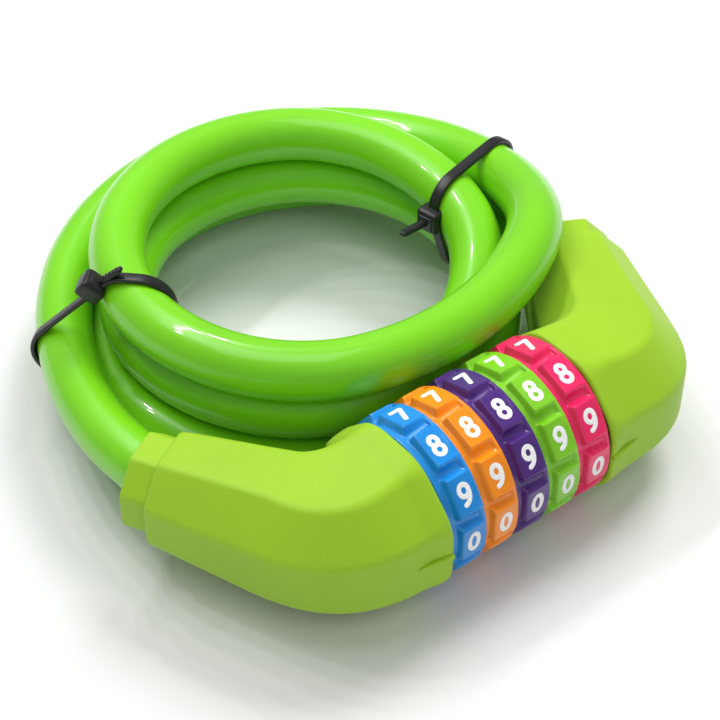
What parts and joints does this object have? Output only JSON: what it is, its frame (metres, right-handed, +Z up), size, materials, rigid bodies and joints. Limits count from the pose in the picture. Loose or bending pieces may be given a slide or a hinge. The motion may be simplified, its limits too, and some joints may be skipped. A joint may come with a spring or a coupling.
{
  "type": "combination cable lock",
  "caption": "Coiled cable lock: colour-coded number dials between two bent end housings, a sliding plug with a lobed bolt, and a vinyl-covered cable tied in a coil.",
  "frame": {"origin": "centre of the base rectangle of the lock head (both housings and the dials), on the floor", "axes": "+X along the dial axis towards the plug that pulls out, +Y towards the coiled cable, +Z up"},
  "size_m": [0.1305, 0.1391, 0.0402],
  "materials": {
    "housing_green": "soft-touch moulded",
    "cable_green": "glossy extruded vinyl",
    "dial_blue": "moulded gloss",
    "dial_orange": "moulded gloss",
    "dial_purple": "moulded gloss",
    "dial_lime": "moulded gloss",
    "dial_pink": "moulded gloss",
    "tie_black": "satin nylon",
    "brass": "turned",
    "zinc": "die cast",
    "steel": "turned and hardened",
    "spring_steel": "bright wire"
  },
  "bodies": {
    "lock_body": {"left_boot": "housing_green", "left_core": "zinc", "left_collar": "housing_green", "left_ferrule": "steel", "left_set_screw": "steel", "left_wire_core": "steel", "barrel": "steel", "retaining_clip": "spring_steel", "ejector_spring": "spring_steel", "detent_spring_1": "spring_steel", "detent_spring_2": "spring_steel", "detent_spring_3": "spring_steel", "detent_spring_4": "spring_steel", "detent_spring_5": "spring_steel", "cable_lead_left": "cable_green", "cable_coil": "cable_green", "cable_lead_right": "cable_green", "left_tie": "tie_black", "right_tie": "tie_black"},
    "plug": {"right_boot": "housing_green", "right_core": "zinc", "right_collar": "housing_green", "right_ferrule": "steel", "right_set_screw": "steel", "right_wire_core": "steel", "bolt": "steel", "bolt_cross_pin": "steel"},
    "dial_1": {"dial_1_ring": "dial_blue", "code_wheel_1": "brass"},
    "dial_2": {"dial_2_ring": "dial_orange", "code_wheel_2": "brass"},
    "dial_3": {"dial_3_ring": "dial_purple", "code_wheel_3": "brass"},
    "dial_4": {"dial_4_ring": "dial_lime", "code_wheel_4": "brass"},
    "dial_5": {"dial_5_ring": "dial_pink", "code_wheel_5": "brass"}
  },
  "joints": [
    {"name": "dial_1_turn", "type": "hinge", "parent": "lock_body", "child": "dial_1", "pos_m": [-0.01714, -0.01106, 0.0174], "axis": [1, 0, 0], "continuous": true, "deforming": ["detent_spring_1"]},
    {"name": "dial_2_turn", "type": "hinge", "parent": "lock_body", "child": "dial_2", "pos_m": [-0.00914, -0.01106, 0.0174], "axis": [1, 0, 0], "continuous": true, "deforming": ["detent_spring_2"]},
    {"name": "dial_3_turn", "type": "hinge", "parent": "lock_body", "child": "dial_3", "pos_m": [-0.00114, -0.01106, 0.0174], "axis": [1, 0, 0], "continuous": true, "deforming": ["detent_spring_3"]},
    {"name": "dial_4_turn", "type": "hinge", "parent": "lock_body", "child": "dial_4", "pos_m": [0.00686, -0.01106, 0.0174], "axis": [1, 0, 0], "continuous": true, "deforming": ["detent_spring_4"]},
    {"name": "dial_5_turn", "type": "hinge", "parent": "lock_body", "child": "dial_5", "pos_m": [0.01486, -0.01106, 0.0174], "axis": [1, 0, 0], "continuous": true, "deforming": ["detent_spring_5"]},
    {"name": "plug_slide", "type": "slide", "parent": "lock_body", "child": "plug", "axis": [1, 0, 0], "range_m": [0, 0.05], "deforming": ["ejector_spring", "cable_lead_right"]}
  ]
}
